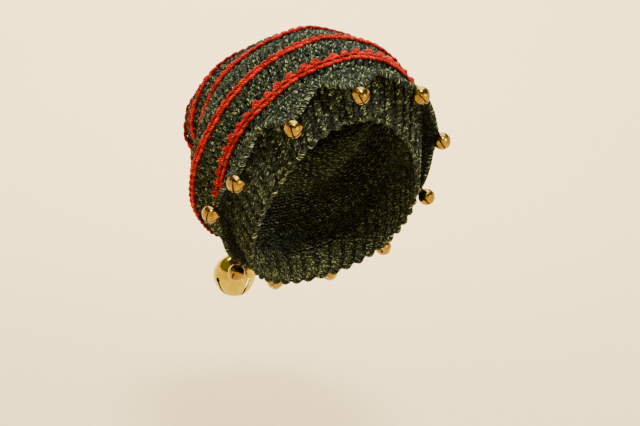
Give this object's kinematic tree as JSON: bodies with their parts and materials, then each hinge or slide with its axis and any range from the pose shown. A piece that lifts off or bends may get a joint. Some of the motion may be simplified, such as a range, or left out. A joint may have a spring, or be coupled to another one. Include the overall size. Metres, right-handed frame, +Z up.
{
  "type": "elf hat",
  "caption": "Slouchy crocheted elf hat in dark green tweed with red braided stripes, a pointed cuff with small brass bells, and a large bell hanging from its drooping tail.",
  "frame": {"origin": "on the inner face of the crown at its top, on the centre plane, where the top of the wearer's head bears on it", "axes": "+Z up as worn, -Y towards the wearer's face, +X towards the wearer's left"},
  "size_m": [0.2216, 0.2506, 0.2575],
  "materials": {
    "green_yarn": "matte dark green tweed yarn with pale grey-green flecks, crocheted",
    "red_yarn": "matte red yarn with small yellow, green and blue nubs, crocheted into flat braids",
    "brass": "polished, warm brass"
  },
  "bodies": {
    "hat": {"crown_front": "green_yarn", "crown_top": "green_yarn", "crown_tail": "green_yarn", "headband": "green_yarn", "cuff": "green_yarn", "stripe_1": "red_yarn", "stripe_2": "red_yarn", "stripe_3": "red_yarn", "stripe_4": "red_yarn", "stripe_5": "red_yarn", "stripe_6": "red_yarn", "stripe_7": "red_yarn", "small_bell_01": "brass", "small_bell_02": "brass", "small_bell_03": "brass", "small_bell_04": "brass", "small_bell_05": "brass", "small_bell_06": "brass", "small_bell_07": "brass", "small_bell_08": "brass", "small_bell_09": "brass", "small_bell_10": "brass", "small_bell_11": "brass", "tail_loop": "green_yarn"},
    "bell": {"large_bell": "brass", "bell_pea": "brass"}
  },
  "joints": [
    {"name": "bell_swing", "type": "hinge", "parent": "hat", "child": "bell", "pos_m": [-0.01994, 0.12432, -0.20853], "axis": [0, 1, 0], "range_deg": [-60, 60]}
  ]
}
